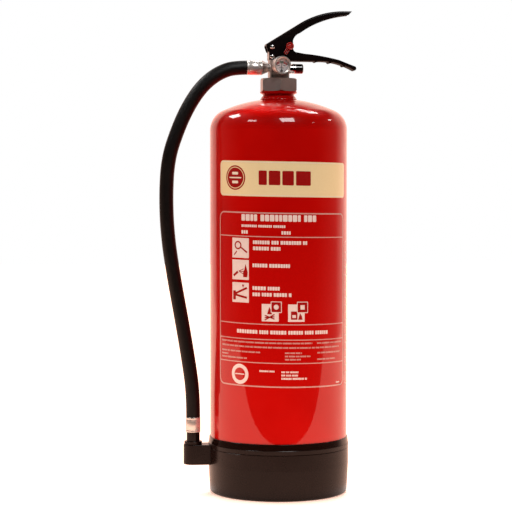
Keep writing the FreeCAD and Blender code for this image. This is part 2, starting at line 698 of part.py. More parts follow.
def label(z_range):
    """Film on the front of the cylinder, with square ends."""
    bottom, top = z_range
    strip = face_xz((VESSEL_R, bottom), (VESSEL_R + FILM, bottom), (VESSEL_R + FILM, top), (VESSEL_R, top))
    strip.rotate(Vector(), Vector(0, 0, 1), -90 - LABEL_HALF_ANGLE)
    return strip.revolve(Vector(), Vector(0, 0, 1), 2 * LABEL_HALF_ANGLE)


# ---------------------------------------------------------------- write the parts

shell = cylinder_shell()
neck = neck_ring()

PARTS = {
    "cylinder_shell": shell,
    "bottom_dome": bottom_dome(),
    "neck_ring": neck,
    "weld_bead": weld_bead(shell, neck),
    "neck_gasket": neck_gasket(),
    "base_skirt": base_skirt(),
    "nozzle_holder": nozzle_holder(),
    "union_nut": union_nut(),
    "valve_body": valve_body(),
    "valve_stem": valve_stem(),
    "seat_seal": seat_seal(),
    "stem_o_ring": stem_o_ring(),
    "valve_spring": valve_spring(),
    "spring_retainer": spring_retainer(),
    "dip_tube": dip_tube(),
    "dip_strainer": dip_strainer(),
    "carry_handle": carry_handle(),
    "squeeze_lever": squeeze_lever(),
    "press_pin": press_pin(),
    "pivot_rivet": rivet(PIVOT),
    "handle_rivet": rivet(HANDLE_RIVET),
    "safety_pin": safety_pin(),
    "pull_ring": pull_ring(),
    "tamper_seal": tamper_seal(),
    "gauge_case": gauge_case(),
    "gauge_bezel": gauge_bezel(),
    "gauge_lens": gauge_lens(),
    "gauge_dial": gauge_dial(),
    "gauge_movement": gauge_movement(),
    "gauge_needle": gauge_needle(),
    "needle_spindle": needle_spindle(),
    "test_port": test_port(),
    "test_port_core": test_port_core(),
    "test_port_cap": test_port_cap(),
    "cap_washer": cap_washer(),
    "outlet_adaptor": outlet_adaptor(),
    "upper_tail": upper_tail(),
    "upper_ferrule": upper_ferrule(),
    "hose": hose(),
    "lower_ferrule": lower_ferrule(),
    "lower_tail": lower_tail(),
    "nozzle_body": nozzle_body(),
    "nozzle_collar": nozzle_collar(),
    "nozzle_tip": nozzle_tip(),
    "name_band": label(BAND_Z),
    "instruction_label": label(PANEL_Z),
}

os.makedirs("parts", exist_ok=True)
for name, shape in PARTS.items():
    save(name, shape)
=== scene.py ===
"""Looks of the fire extinguisher: materials, printed labels, hose, seal, weld, stage, lights and camera.

Everything is in metres in the CAD frame: the cylinder's axis is Z, the front with the gauge and the
labels is -Y, the handle points to +X and the hose hangs on the -X side.
"""
import json
import math
import random

import bmesh
import bpy
from mathutils import Matrix, Vector


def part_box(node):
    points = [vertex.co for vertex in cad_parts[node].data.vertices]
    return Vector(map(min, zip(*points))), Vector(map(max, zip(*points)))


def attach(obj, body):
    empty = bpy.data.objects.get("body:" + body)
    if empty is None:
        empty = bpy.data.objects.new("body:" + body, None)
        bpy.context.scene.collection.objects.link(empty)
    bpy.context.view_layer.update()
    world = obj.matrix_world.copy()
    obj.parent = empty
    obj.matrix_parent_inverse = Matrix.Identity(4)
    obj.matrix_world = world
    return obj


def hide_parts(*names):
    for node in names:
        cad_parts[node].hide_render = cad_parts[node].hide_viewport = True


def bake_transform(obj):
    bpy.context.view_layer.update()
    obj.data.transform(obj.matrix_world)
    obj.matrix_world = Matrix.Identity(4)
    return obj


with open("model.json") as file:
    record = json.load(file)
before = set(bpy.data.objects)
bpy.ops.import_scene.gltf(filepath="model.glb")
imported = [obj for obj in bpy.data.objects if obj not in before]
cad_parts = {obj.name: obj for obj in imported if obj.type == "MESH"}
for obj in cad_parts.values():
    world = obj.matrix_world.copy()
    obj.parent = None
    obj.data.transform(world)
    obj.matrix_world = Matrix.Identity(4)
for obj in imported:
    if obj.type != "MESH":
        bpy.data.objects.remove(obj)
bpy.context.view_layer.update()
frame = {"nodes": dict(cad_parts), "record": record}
scene = bpy.context.scene
MM = 0.001
AHEAD = (0.1219, 0.9925, 0.0)  # the camera's heading on the floor
TO_RIGHT = (0.9925, -0.1219, 0.0)  # square to it


# ---------------------------------------------------------------- camera

CAMERA_PLACE = (-0.3243, -2.39835, 0.421)
CAMERA_DOWN = math.radians(2.6)
LENS = 129.2
SENSOR = 36.0


def make_camera():
    """The photograph's view: a little left of the front and below the valve, from far off."""
    forward = Vector(AHEAD) * math.cos(CAMERA_DOWN) - Vector((0, 0, math.sin(CAMERA_DOWN)))
    data = bpy.data.cameras.new("camera")
    data.lens = LENS
    data.sensor_width = SENSOR
    camera = bpy.data.objects.new("camera", data)
    camera.location = CAMERA_PLACE
    camera.rotation_euler = forward.to_track_quat("-Z", "Y").to_euler()
    scene.collection.objects.link(camera)
    scene.camera = camera


# ---------------------------------------------------------------- mesh helpers

def add_object(name, vertices, faces, material):
    """New smooth mesh object in the scene."""
    mesh = bpy.data.meshes.new(name)
    mesh.from_pydata([tuple(v) for v in vertices], [], faces)
    mesh.update()
    mesh.materials.append(material)
    for polygon in mesh.polygons:
        polygon.use_smooth = True
    piece = bpy.data.objects.new(name, mesh)
    scene.collection.objects.link(piece)
    return piece


def sweep(path, normals, radii, sides, closed=False):
    """Vertices and faces of a tube along a path. radii gives one radius, or a function (step, side)."""
    vertices = []
    faces = []
    count = len(path)
    for i, centre in enumerate(path):
        if closed:
            along = (path[(i + 1) % count] - path[i - 1]).normalized()
        else:
            along = (path[min(i + 1, count - 1)] - path[max(i - 1, 0)]).normalized()
        side = along.cross(normals[i]).normalized()
        up = side.cross(along).normalized()
        for k in range(sides):
            angle = 2 * math.pi * k / sides
            radius = radii(i, k) if callable(radii) else radii
            vertices.append(centre + (side * math.cos(angle) + up * math.sin(angle)) * radius)
    rings = count if closed else count - 1
    for i in range(rings):
        for k in range(sides):
            a = i * sides + k
            b = i * sides + (k + 1) % sides
            c = ((i + 1) % count) * sides + (k + 1) % sides
            d = ((i + 1) % count) * sides + k
            faces.append((a, b, c, d))
    return vertices, faces


def lathe(profile, steps):
    """Vertices and faces of a surface turned about Z from (radius, z) points."""
    vertices = []
    faces = []
    for step in range(steps):
        angle = 2 * math.pi * step / steps
        for radius, z in profile:
            vertices.append(Vector((radius * math.cos(angle), radius * math.sin(angle), z)))
    rows = len(profile)
    for step in range(steps):
        after = (step + 1) % steps
        for k in range(rows - 1):
            faces.append((step * rows + k, after * rows + k, after * rows + k + 1, step * rows + k + 1))
    return vertices, faces


# ---------------------------------------------------------------- materials

class Looks:
    """A material's node tree with short calls for the nodes used here."""

    def __init__(self, name):
        self.material = bpy.data.materials.new(name)
        self.material.use_nodes = True
        self.tree = self.material.node_tree
        self.tree.nodes.clear()
        self.output = self.tree.nodes.new("ShaderNodeOutputMaterial")
        self.shader = self.tree.nodes.new("ShaderNodeBsdfPrincipled")
        self.link(self.shader.outputs["BSDF"], self.output.inputs["Surface"])

    def link(self, source, target):
        self.tree.links.new(source, target)

    def node(self, kind, **settings):
        made = self.tree.nodes.new(kind)
        for key, value in settings.items():
            setattr(made, key, value)
        return made

    def set(self, **values):
        """Constant sockets of the shader, with _ for a space."""
        for key, value in values.items():
            self.shader.inputs[key.replace("_", " ")].default_value = value

    def place(self, scale=(1, 1, 1), kind="Object"):
        """Coordinates in metres on the object, stretched by a scale."""
        coords = self.node("ShaderNodeTexCoord")
        mapping = self.node("ShaderNodeMapping")
        mapping.inputs["Scale"].default_value = scale
        self.link(coords.outputs[kind], mapping.inputs["Vector"])
        return mapping.outputs["Vector"]

    def noise(self, scale, detail=3.0, roughness=0.5, vector=None):
        made = self.node("ShaderNodeTexNoise")
        made.inputs["Scale"].default_value = scale
        made.inputs["Detail"].default_value = detail
        made.inputs["Roughness"].default_value = roughness
        self.link(vector or self.place(), made.inputs["Vector"])
        return made.outputs["Fac"]

    def spread(self, value, low, high, to_low, to_high):
        """Map a value from one range to another."""
        made = self.node("ShaderNodeMapRange")
        made.inputs["From Min"].default_value = low
        made.inputs["From Max"].default_value = high
        made.inputs["To Min"].default_value = to_low
        made.inputs["To Max"].default_value = to_high
        self.link(value, made.inputs["Value"])
        return made.outputs["Result"]

    def ramp(self, value, *stops):
        """Colour ramp between two (place, colour) stops."""
        made = self.node("ShaderNodeValToRGB")
        for element, (place, colour) in zip(made.color_ramp.elements, stops):
            element.position = place
            element.color = (*colour, 1.0)
        self.link(value, made.inputs["Fac"])
        return made.outputs["Color"]

    def math(self, operation, a, b):
        made = self.node("ShaderNodeMath", operation=operation)
        for socket, value in zip(made.inputs, (a, b)):
            if isinstance(value, (int, float)):
                socket.default_value = value
            else:
                self.link(value, socket)
        return made.outputs["Value"]

    def bump(self, height, distance, strength=1.0, coat=False):
        """Bump in metres of height, on the base or on the coat."""
        made = self.node("ShaderNodeBump")
        made.inputs["Strength"].default_value = strength
        made.inputs["Distance"].default_value = distance
        self.link(height, made.inputs["Height"])
        self.link(made.outputs["Normal"], self.shader.inputs["Coat Normal" if coat else "Normal"])

    def colour(self, value):
        self.link(value, self.shader.inputs["Base Color"])

    def rough(self, value):
        self.link(value, self.shader.inputs["Roughness"])


def red_paint():
    """Deep red stove enamel with a clear gloss, faint orange peel and a little dust."""
    looks = Looks("red_paint")
    looks.set(Coat_Weight=1.0, Coat_Roughness=0.02, Specular_IOR_Level=0.05)
    tone = looks.noise(14.0, detail=2.0)
    looks.colour(looks.ramp(tone, (0.35, (0.50, 0.0020, 0.0008)), (0.65, (0.55, 0.0028, 0.0014))))
    looks.rough(looks.spread(looks.noise(60.0, detail=4.0), 0.3, 0.7, 0.28, 0.42))
    looks.bump(looks.noise(300.0, detail=1.0), 0.000006, coat=True)
    return looks.material


def base_plastic():
    """Dark brown-black moulded plastic: satin with fine moulding grain and scuffs, and a polished lip."""
    looks = Looks("base_plastic")
    looks.set(Specular_IOR_Level=0.2)
    streaks = looks.noise(9.0, detail=4.0, vector=looks.place((1, 1, 4)))
    looks.colour(looks.ramp(streaks, (0.3, (0.007, 0.003, 0.002)), (0.7, (0.011, 0.005, 0.004))))
    scuffs = looks.noise(45.0, detail=6.0, roughness=0.7)
    parts = looks.node("ShaderNodeSeparateXYZ")
    looks.link(looks.place(), parts.inputs["Vector"])
    lip_z = 0.066
    polish = looks.spread(parts.outputs["Z"], lip_z - 0.0002, lip_z + 0.0002, 0.0, -0.16)
    looks.rough(looks.math("ADD", looks.spread(scuffs, 0.35, 0.65, 0.21, 0.30), polish))
    looks.bump(looks.noise(2200.0, detail=2.0), 0.000006, strength=0.6)
    return looks.material


def plated(name, dark, light, rough_low, rough_high, grain=900.0, metallic=1.0):
    """Plated or polished metal with tone and roughness that vary a little."""
    looks = Looks(name)
    looks.set(Metallic=metallic)
    looks.colour(looks.ramp(looks.noise(70.0, detail=4.0), (0.35, dark), (0.65, light)))
    wear = looks.noise(180.0, detail=5.0, roughness=0.65)
    looks.rough(looks.spread(wear, 0.3, 0.7, rough_low, rough_high))
    looks.bump(looks.noise(grain, detail=3.0), 0.000006, strength=0.5)
    return looks.material


def gloss(name, dark, light, rough_low, rough_high, coat, peel=0.00002, shine=0.5):
    """Painted or moulded gloss surface, with small waviness in its shine."""
    looks = Looks(name)
    looks.set(Coat_Weight=coat, Coat_Roughness=0.04, Specular_IOR_Level=shine)
    looks.colour(looks.ramp(looks.noise(60.0, detail=3.0), (0.35, dark), (0.65, light)))
    wear = looks.noise(220.0, detail=5.0, roughness=0.6)
    looks.rough(looks.spread(wear, 0.3, 0.7, rough_low, rough_high))
    looks.bump(looks.noise(500.0, detail=1.5), peel, strength=0.7)
    return looks.material


def hose_rubber():
    """Black rubber with the fine slanting weave of its cover: U runs round the hose, V along it."""
    looks = Looks("hose_rubber")
    looks.set(Specular_IOR_Level=0.3)
    grid = looks.place((40.0, 260.0, 1.0), kind="UV")
    parts = looks.node("ShaderNodeSeparateXYZ")
    looks.link(grid, parts.inputs["Vector"])
    ribs = []
    for slant in (1.0, -1.0):
        phase = looks.math("ADD", parts.outputs["Y"], looks.math("MULTIPLY", parts.outputs["X"], slant))
        wave = looks.math("SINE", looks.math("MULTIPLY", phase, 2 * math.pi), 0.0)
        ribs.append(looks.math("ADD", looks.math("MULTIPLY", wave, 0.5), 0.5))
    fainter = looks.math("ADD", looks.math("MULTIPLY", ribs[1], 0.4), 0.6)
    weave = looks.math("MULTIPLY", ribs[0], fainter)
    dust = looks.noise(35.0, detail=5.0, roughness=0.65)
    looks.colour(looks.ramp(dust, (0.35, (0.0015, 0.0009, 0.0007)), (0.75, (0.005, 0.0035, 0.003))))
    looks.rough(looks.spread(weave, 0.0, 1.0, 0.5, 0.34))
    looks.bump(weave, 0.00012, strength=0.8)
    return looks.material


def soft_rubber():
    """Plain matte rubber of the seals and washers."""
    looks = Looks("soft_rubber")
    tone = looks.noise(90.0, detail=4.0)
    looks.colour(looks.ramp(tone, (0.3, (0.012, 0.012, 0.012)), (0.7, (0.03, 0.03, 0.03))))
    looks.rough(looks.spread(looks.noise(300.0), 0.3, 0.7, 0.5, 0.7))
    looks.bump(looks.noise(1500.0), 0.00003)
    return looks.material


def seal_plastic(name, dark, light, see_through):
    """Red moulded plastic that lets some light through."""
    looks = Looks(name)
    looks.set(Transmission_Weight=see_through, IOR=1.46, Coat_Weight=0.5, Coat_Roughness=0.08)
    looks.colour(looks.ramp(looks.noise(260.0, detail=3.0), (0.3, dark), (0.7, light)))
    looks.rough(looks.spread(looks.noise(500.0), 0.3, 0.7, 0.22, 0.36))
    looks.bump(looks.noise(900.0, detail=2.0), 0.00003)
    return looks.material


def lens_glass():
    """Thin clear window: mostly see-through, with its own shine."""
    looks = Looks("lens_glass")
    looks.set(Base_Color=(0.95, 0.97, 0.97, 1.0), Alpha=0.07, Coat_Weight=1.0, Coat_Roughness=0.02)
    looks.rough(looks.spread(looks.noise(300.0), 0.3, 0.7, 0.02, 0.07))
    return looks.material


def ink(name, dark, light, coat=1.0):
    """Printed or glossy film colour, with the speckle of screen printing."""
    looks = Looks(name)
    looks.set(Coat_Weight=coat, Coat_Roughness=0.03, Specular_IOR_Level=0.05)
    looks.colour(looks.ramp(looks.noise(420.0, detail=3.0), (0.3, dark), (0.7, light)))
    looks.rough(looks.spread(looks.noise(700.0, detail=4.0), 0.3, 0.7, 0.32, 0.46))
    looks.bump(looks.noise(1800.0, detail=1.0), 0.00001, strength=0.4)
    return looks.material


MATERIALS = {
    "red_paint": red_paint(),
    "base_plastic": base_plastic(),
    "valve_brass": plated("valve_brass", (0.50, 0.435, 0.40), (0.55, 0.48, 0.445), 0.34, 0.46,
                          metallic=0.7),
    "chrome": plated("chrome", (0.72, 0.70, 0.69), (0.82, 0.80, 0.79), 0.05, 0.12, grain=500.0),
    "black_enamel": gloss("black_enamel", (0.004, 0.002, 0.002), (0.007, 0.004, 0.004), 0.24, 0.36, 0.05,
                          peel=0.000003, shine=0.15),
    "satin_chrome": plated("satin_chrome", (0.82, 0.76, 0.70), (0.90, 0.84, 0.78), 0.26, 0.36,
                           grain=500.0, metallic=0.65),
    "stainless": plated("stainless", (0.50, 0.49, 0.48), (0.62, 0.61, 0.60), 0.18, 0.3),
    "hose_rubber": hose_rubber(),
    "soft_rubber": soft_rubber(),
    "dull_enamel": gloss("dull_enamel", (0.004, 0.002, 0.002), (0.007, 0.004, 0.004), 0.45, 0.6, 0.0,
                         peel=0.000003, shine=0.03),
    "black_plastic": gloss("black_plastic", (0.006, 0.004, 0.004), (0.010, 0.008, 0.007), 0.10, 0.2, 1.0,
                           peel=0.000003),
    "red_plastic": seal_plastic("red_plastic", (0.50, 0.014, 0.012), (0.60, 0.022, 0.018), 0.12),
    "seal_tail": seal_plastic("seal_tail", (0.34, 0.010, 0.008), (0.42, 0.014, 0.012), 0.35),
    "white_plastic": gloss("white_plastic", (0.70, 0.68, 0.64), (0.80, 0.78, 0.74), 0.35, 0.5, 0.1),
    "lens_glass": lens_glass(),
    "dial_print": ink("dial_print", (0.80, 0.72, 0.71), (0.88, 0.80, 0.79), coat=0.2),
    "label_cream": ink("label_cream", (0.95, 0.85, 0.49), (0.97, 0.88, 0.52)),
    "label_clear": ink("label_clear", (0.50, 0.0020, 0.0008), (0.55, 0.0028, 0.0014)),
}
INK = {
    "white": ink("ink_white", (0.88, 0.78, 0.74), (0.93, 0.84, 0.80)),
    "pink": ink("ink_pink", (0.62, 0.34, 0.31), (0.72, 0.42, 0.38)),
    "dark_red": ink("ink_dark_red", (0.33, 0.008, 0.008), (0.38, 0.011, 0.010)),
    "red": ink("ink_red", (0.36, 0.006, 0.006), (0.42, 0.010, 0.010)),
    "pale": ink("ink_pale", (0.96, 0.90, 0.72), (0.98, 0.93, 0.77)),
    "black": ink("ink_black", (0.010, 0.008, 0.008), (0.02, 0.016, 0.016)),
    "green": ink("ink_green", (0.010, 0.06, 0.03), (0.016, 0.08, 0.04)),
}


def dress_nodes():
    """Give every CAD node the material of its slot in the record, or a variant of its own."""
    for part in frame["record"]["subparts"]:
        node = frame["nodes"][part["node"]]
        node.data.materials.clear()
        node.data.materials.append(MATERIALS[part["material_slot"]])
    frame["nodes"]["gauge_bezel"].data.materials[0] = MATERIALS["satin_chrome"]
    frame["nodes"]["carry_handle"].data.materials[0] = MATERIALS["dull_enamel"]


# ---------------------------------------------------------------- labels

LABEL_R = 90.15  # mm, the outside of the label films
FOOT_Z = 3.0  # the label's heights are drawn from this far under the floor, like the parts
TILT = math.tan(math.radians(1.05))  # how far the label falls for each mm to the right
STRIP = 3.0  # width of the upright strips that a print is cut into
ON_FILM = 0.07  # mm above the film, for print on it
LETTER_W = 0.62  # a block's width and the gap after it, for each unit of a row's height
GAP_W = 0.55
BAND = (-100, 100, 393, 438)  # left, right, bottom and top of the cream band
PANEL = (-101.5, 96, 149.8, 373)
PANEL_CORNER = 9


def on_cylinder(u, v, lift):
    """Point of the label, u along the girth and v up from FOOT_Z under the floor, in mm, off the film."""
    angle = u / LABEL_R
    radius = (LABEL_R + lift) * MM
    return Vector((radius * math.sin(angle), -radius * math.cos(angle), (v - u * TILT - FOOT_Z) * MM))


def fill_outlines(outlines, height):
    """Flat triangulated mesh of outlines with optional holes, at a height."""
    mesh = bmesh.new()
    for outline, *holes in outlines:
        edges = []
        for loop in (outline, *holes):
            points = [mesh.verts.new((u, v, height)) for u, v in loop]
            edges += [mesh.edges.new((a, b)) for a, b in zip(points, points[1:] + points[:1])]
        bmesh.ops.triangle_fill(mesh, use_beauty=True, edges=edges, normal=(0, 0, 1))
    return mesh


def add_print(name, mesh, material):
    """Turn the finished mesh of a print into an object that stays on the vessel."""
    data = bpy.data.meshes.new(name)
    mesh.to_mesh(data)
    mesh.free()
    data.materials.append(material)
    piece = bpy.data.objects.new(name, data)
    scene.collection.objects.link(piece)
    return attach(piece, "vessel")


def wrap(name, outlines, lift, material):
    """Outlines with optional holes, cut into upright strips and laid round the cylinder."""
    mesh = fill_outlines(outlines, 0)
    low = min(vertex.co.x for vertex in mesh.verts)
    high = max(vertex.co.x for vertex in mesh.verts)
    cut = math.floor(low / STRIP) * STRIP + STRIP
    while cut < high:
        everything = mesh.verts[:] + mesh.edges[:] + mesh.faces[:]
        bmesh.ops.bisect_plane(mesh, geom=everything, plane_co=(cut, 0, 0), plane_no=(1, 0, 0))
        cut += STRIP
    for vertex in mesh.verts:
        vertex.co = on_cylinder(vertex.co.x, vertex.co.y, lift)
    bmesh.ops.recalc_face_normals(mesh, faces=mesh.faces)
    for face in mesh.faces:
        outward = Vector((face.calc_center_median().x, face.calc_center_median().y, 0))
        if face.normal.dot(outward) < 0:
            face.normal_flip()
        face.smooth = True
    return add_print(name, mesh, material)


def rounded(u0, u1, v0, v1, radius, steps=5):
    """Rectangle with rounded corners, anticlockwise."""
    radius = min(radius, (u1 - u0) / 2, (v1 - v0) / 2)
    points = []
    for corner, (cu, cv) in enumerate(((u1 - radius, v0 + radius), (u1 - radius, v1 - radius),
                                       (u0 + radius, v1 - radius), (u0 + radius, v0 + radius))):
        for step in range(steps + 1):
            angle = math.radians(-90 + 90 * corner + 90 * step / steps)
            points.append((cu + radius * math.cos(angle), cv + radius * math.sin(angle)))
    return points


def outline_frame(u0, u1, v0, v1, radius, width):
    """Rounded rectangle drawn as a line of some width."""
    outer = rounded(u0, u1, v0, v1, radius)
    inner = rounded(u0 + width, u1 - width, v0 + width, v1 - width, radius - width)
    return (outer, inner)


def disc(cu, cv, radius, steps=40):
    """Circle, anticlockwise."""
    turns = [2 * math.pi * k / steps for k in range(steps)]
    return [(cu + radius * math.cos(turn), cv + radius * math.sin(turn)) for turn in turns]


def stroke(points, width):
    """A thin line through points, one quadrilateral for each stretch."""
    made = []
    for (au, av), (bu, bv) in zip(points, points[1:]):
        length = math.hypot(bu - au, bv - av)
        su = -(bv - av) / length * width / 2
        sv = (bu - au) / length * width / 2
        made.append(([(au - su, av - sv), (bu - su, bv - sv), (bu + su, bv + sv), (au + su, av + sv)],))
    return made


def words(u0, u1, v0, v1, seed, gap=0.28):
    """A line of plain blocks in word-like groups, with no letterforms."""
    draw = random.Random(seed)
    height = v1 - v0
    made = []
    u = u0
    left = draw.randint(3, 9)
    while u < u1 - 0.3 * height:
        width = min(height * LETTER_W * draw.uniform(0.75, 1.2), u1 - u)
        made.append((rounded(u, u + width, v0, v1, 0.12 * height, steps=2),))
        u += width + height * gap * GAP_W
        left -= 1
        if left == 0:
            u += height * 0.42
            left = draw.randint(3, 9)
    return made


def cream_band():
    """Cream band with a pale edge line, a plain ring emblem and one large word shown as blocks."""
    film = wrap("band_film", [(rounded(*BAND, 6),)], 0.0, MATERIALS["label_cream"])
    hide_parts("name_band")
    wrap("band_edge", [outline_frame(-99, 99, 394, 437, 5.4, 0.9)], ON_FILM, INK["pale"])
    ring = [(disc(-71.7, 416.3, 15.7), disc(-71.7, 416.3, 13.9)), (disc(-71.7, 416.3, 12.9),)]
    wrap("band_ring", ring, ON_FILM, INK["dark_red"])
    marks = [(rounded(-81.5, -61.9, 415.5, 417.1, 0.8),),
             (rounded(-76.6, -66.8, 420.2, 423.6, 1.2),),
             (rounded(-76.6, -66.8, 409.0, 412.4, 1.2),)]
    wrap("band_emblem_marks", marks, 0.14, INK["pale"])
    blocks = []
    for u0, u1 in ((-37.6, -26.9), (-24.4, -9.7), (-7.2, 7.6), (10.4, 30.7)):
        blocks.append((rounded(u0, u1, 407.7, 426.0, 1.45),))
    wrap("band_word_blocks", blocks, ON_FILM, INK["dark_red"])


def instruction_panel():
    """White outline with rows of blocks, three plain pictograms and two class marks."""
    film = wrap("panel_film", [(rounded(*PANEL, PANEL_CORNER),)], -0.08, MATERIALS["label_clear"])
    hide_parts("instruction_label")
    lines = [outline_frame(*PANEL, PANEL_CORNER, 1.7)]
    for v in (342, 230.5, 211, 181):
        lines.append((rounded(-99.8, 94.3, v - 0.6, v + 0.6, 0.1),))
    wrap("panel_frame", lines, 0.0, INK["pink"])

    rows = words(-61.7, 41.4, 361.7, 370.1, 1, gap=0.2)
    rows += words(-61.7, -3.2, 353.7, 356.9, 2)
    rows += words(-61.7, -52.2, 345.2, 349.5, 3)
    rows += words(-8.3, 6.2, 345.2, 349.5, 4)
    for seed, (u0, u1, v0, v1) in enumerate((
            (-45.2, 26.7, 332.4, 337.1), (-45.2, -9.5, 324.6, 329.3), (-45.9, 5.2, 302.9, 307.6),
            (-45.9, -8.9, 273.9, 278.6), (-45.9, 5.0, 266.0, 270.7))):
        rows += words(u0, u1, v0, v1, 10 + seed, gap=0.2)
    rows += words(-68.7, 58.7, 218.0, 222.8, 20, gap=0.22)
    rows += words(-36.5, -17.0, 169.5, 171.7, 30)
    rows += words(-8.2, 13.9, 168.8, 171.0, 31)
    rows += words(-8.2, 13.2, 164.6, 166.8, 32)
    rows += words(-8.2, 25.5, 160.3, 162.8, 33)
    rows += words(75.6, 85.0, 153.6, 155.4, 34)
    wrap("panel_rows", rows, 0.0, INK["white"])

    small = []
    for seed, (u0, u1, v) in enumerate((
            (-99, 33, 206.7), (37.4, 90, 206.7), (-99, 83, 201), (-99, -35, 194.3), (-6.6, 19, 194.3),
            (38, 86, 194.3), (-99, -83.6, 190.1), (-6.6, 30.4, 190.1), (-99, -53, 186), (-6.6, 17, 186),
            (38, 73, 186))):
        small += words(u0 + 3, u1, v - 1.0, v + 1.0, 50 + seed)
    wrap("panel_small_rows", small, 0.0, INK["pink"])

    tiles = [(rounded(-76.3, -51.0, v0, v0 + 25.4, 0.6),) for v0 in (314.1, 286.2, 257.1)]
    wrap("panel_tiles", tiles, 0.0, INK["white"])
    wrap("panel_pictograms", pictograms(), ON_FILM, INK["red"])

    squares = [(rounded(-33.5, -11.6, 234.3, 256.5, 0.5),), (rounded(0.3, 22.2, 234.3, 256.5, 0.5),)]
    wrap("class_squares", squares, 0.0, INK["white"])
    marks = []
    for slant in (-1, 0, 1):
        marks += stroke([(-29.5, 239.0 + 3 * slant), (-17.0, 240.5 - 3 * slant)], 1.5)
    marks.append(([(-26.6, 243.5), (-20.2, 243.5), (-21.2, 248.4), (-23.6, 252.9), (-25.2, 248.0)],))
    marks.append((rounded(4.0, 12.4, 237.0, 247.6, 1.0), rounded(5.8, 10.6, 239.2, 243.0, 0.6)))
    marks.append(([(13.4, 237.0), (19.4, 237.0), (18.4, 241.6), (16.2, 245.2), (14.6, 241.4)],))
    wrap("class_marks", marks, ON_FILM, INK["red"])
    badges = [(rounded(-21.8, -7.8, 245.6, 260.0, 1.0),), (rounded(11.8, 26.8, 245.6, 260.0, 1.0),)]
    wrap("class_badges_edge", badges, 0.12, INK["white"])
    inner = [(rounded(-20.9, -8.7, 246.5, 259.1, 0.6), disc(-14.8, 252.8, 3.2)),
             (rounded(12.7, 25.9, 246.5, 259.1, 0.6), rounded(16.4, 22.2, 249.9, 255.7, 0.5))]
    wrap("class_badges", inner, 0.18, INK["red"])

    wrap("panel_disc", [(disc(-64.5, 165.2, 12.9), disc(-64.5, 165.2, 8.2)),
                        (rounded(-71.6, -57.4, 164.5, 165.9, 0.5),)], 0.0, INK["white"])


def pictograms():
    """Three simple drawings: a ring pulled from a pin, a spray at a flame's foot, a lever squeezed."""
    drawn = []
    cu = -63.7
    cv = 326.8
    drawn.append((disc(cu - 3.4, cv + 3.4, 5.4), disc(cu - 3.4, cv + 3.4, 3.6)))
    drawn += stroke([(cu + 1.4, cv + 0.6), (cu + 10.2, cv - 5.6)], 2.0)
    drawn += stroke([(cu - 9.6, cv - 9.4), (cu - 5.2, cv - 4.2)], 1.6)
    cv = 298.9
    drawn += stroke([(cu - 10.4, cv - 8.0), (cu - 3.4, cv - 2.6)], 3.0)
    for spread_v in (-5.6, -2.2, 1.2):
        drawn += stroke([(cu - 2.2, cv - 1.8), (cu + 5.4, cv + spread_v)], 0.9)
    drawn.append(([(cu + 4.6, cv - 9.4), (cu + 10.6, cv - 9.4), (cu + 11.2, cv - 3.0), (cu + 8.0, cv + 7.6),
                   (cu + 6.4, cv + 0.6), (cu + 4.4, cv - 3.4)],))
    cv = 269.8
    drawn += stroke([(cu - 9.8, cv - 2.6), (cu + 10.0, cv + 6.2)], 2.6)
    drawn += stroke([(cu - 9.8, cv - 2.6), (cu + 10.0, cv - 6.4)], 2.6)
    drawn.append((rounded(cu - 11.2, cu - 6.8, cv - 9.6, cv + 2.2, 1.0),))
    drawn.append(([(cu + 2.6, cv + 10.2), (cu + 6.2, cv + 10.2), (cu + 4.4, cv + 6.2)],))
    return drawn


def side_panel():
    """Narrow second label on the right, past the first one's edge."""
    wrap("side_frame", [outline_frame(99.5, 143, 150, 337, 8, 1.4)], 0.0, INK["pink"])
    rows = []
    for row in range(17):
        v = 322 - 9.8 * row
        if row in (4, 10):
            rows.append((rounded(104, 138.5, v, v + 0.8, 0.1),))
        else:
            rows += words(104.5, 138 - 9 * (row % 3), v - 1.2, v + 1.2, 80 + row)
    wrap("side_rows", rows, 0.0, INK["pink"])


# ---------------------------------------------------------------- gauge print

GAUGE_FACE = Vector((1.9, -29.0, 560.3))  # mm, the middle of the gauge's front
GAUGE_YAW = math.radians(19.0)  # turn of the dial to the right of the front
NEEDLE_DROP = 7.7  # the needle's pivot under the middle
DIAL_DEPTH = -3.9  # the dial behind the gauge's front
PRINT_LIFT = 0.03


def gauge_place():
    """Matrix from the gauge's axes in mm (X right, Y up, Z out of the dial) to the frame in metres."""
    out = Vector((math.sin(GAUGE_YAW), -math.cos(GAUGE_YAW), 0))
    up = Vector((0, 0, 1))
    right = up.cross(out)
    turn = Matrix((right, up, out)).transposed().to_4x4()
    return Matrix.Scale(MM, 4) @ Matrix.Translation(GAUGE_FACE) @ turn


def dial_arc(r0, r1, start, end, steps=16):
    """Band about the needle's pivot; angles in degrees to the left of straight up."""
    def at(radius, degrees):
        angle = math.radians(90 + degrees)
        return (radius * math.cos(angle), -NEEDLE_DROP + radius * math.sin(angle))
    turns = [start + (end - start) * k / steps for k in range(steps + 1)]
    return [at(r0, t) for t in turns] + [at(r1, t) for t in reversed(turns)]


def dial_piece(name, outlines, lift, material):
    """Thin flat print on the dial."""
    mesh = fill_outlines(outlines, DIAL_DEPTH + lift)
    for face in mesh.faces:
        face.normal_update()
        if face.normal.z < 0:
            face.normal_flip()
    mesh.transform(gauge_place())
    return add_print(name, mesh, material)


